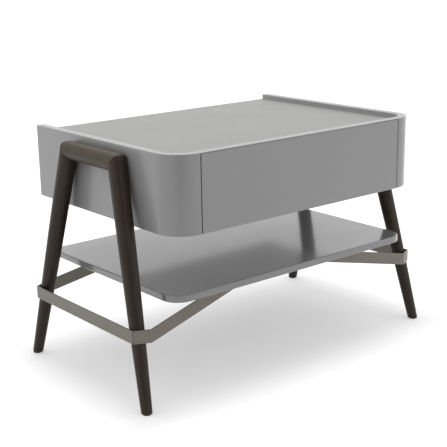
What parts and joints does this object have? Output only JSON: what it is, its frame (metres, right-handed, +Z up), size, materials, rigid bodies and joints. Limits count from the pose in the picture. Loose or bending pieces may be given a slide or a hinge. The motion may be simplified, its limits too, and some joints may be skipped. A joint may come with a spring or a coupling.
{
  "type": "low table with drawer",
  "caption": "Low lacquered table with raised rim, wide push-in drawer and open lower shelf, hung between two round-legged wooden trestles tied by flat metal straps.",
  "frame": {"origin": "on the floor, below the centre of the table", "axes": "+X along the table to its right, -Y out of the drawer front, +Z up"},
  "size_m": [1.1926, 0.73, 0.742],
  "materials": {
    "lacquer": "satin grey lacquer on board",
    "leg_wood": "dark stained open-grain wood, satin",
    "plain_wood": "bare hardwood",
    "drawer_board": "matt melamine-faced board",
    "strap_metal": "satin pewter",
    "steel": "zinc plated",
    "glide": "black"
  },
  "bodies": {
    "frame": {"side_panel_left": "lacquer", "side_panel_right": "lacquer", "front_rim": "lacquer", "top_panel": "lacquer", "bottom_panel": "lacquer", "back_panel": "lacquer", "back_screws": "steel", "inner_upright_left": "drawer_board", "inner_upright_right": "drawer_board", "lower_shelf": "lacquer", "front_leg_left": "leg_wood", "front_leg_right": "leg_wood", "rear_leg_left": "leg_wood", "rear_leg_right": "leg_wood", "top_rail_left": "leg_wood", "top_rail_right": "leg_wood", "mitre_dowels": "plain_wood", "trestle_inserts": "steel", "trestle_bolts": "steel", "standoff_washers": "glide", "foot_glides": "glide", "side_strap_left": "strap_metal", "side_strap_right": "strap_metal", "front_shelf_strap_left": "strap_metal", "front_shelf_strap_right": "strap_metal", "rear_shelf_strap_left": "strap_metal", "rear_shelf_strap_right": "strap_metal", "strap_bolts": "steel", "shelf_screws": "steel", "cabinet_runner_left": "steel", "cabinet_runner_right": "steel", "cabinet_runner_screws": "steel"},
    "drawer": {"drawer_front": "lacquer", "drawer_side_left": "drawer_board", "drawer_side_right": "drawer_board", "drawer_box_front": "drawer_board", "drawer_back": "drawer_board", "drawer_bottom": "drawer_board", "drawer_front_screws": "steel", "drawer_runner_left": "steel", "drawer_runner_right": "steel", "drawer_runner_screws": "steel"},
    "runner_middle_left": {"middle_runner_left": "steel"},
    "runner_middle_right": {"middle_runner_right": "steel"}
  },
  "joints": [
    {"name": "drawer_slide", "type": "slide", "parent": "frame", "child": "drawer", "axis": [0, -1, 0], "range_m": [0, 0.5]},
    {"name": "left_runner_slide", "type": "slide", "parent": "frame", "child": "runner_middle_left", "axis": [0, -1, 0], "range_m": [0, 0.25]},
    {"name": "right_runner_slide", "type": "slide", "parent": "frame", "child": "runner_middle_right", "axis": [0, -1, 0], "range_m": [0, 0.25]}
  ],
  "couplings": [
    {"joint": "left_runner_slide", "follows": "drawer_slide", "ratio": 0.5},
    {"joint": "right_runner_slide", "follows": "drawer_slide", "ratio": 0.5}
  ]
}
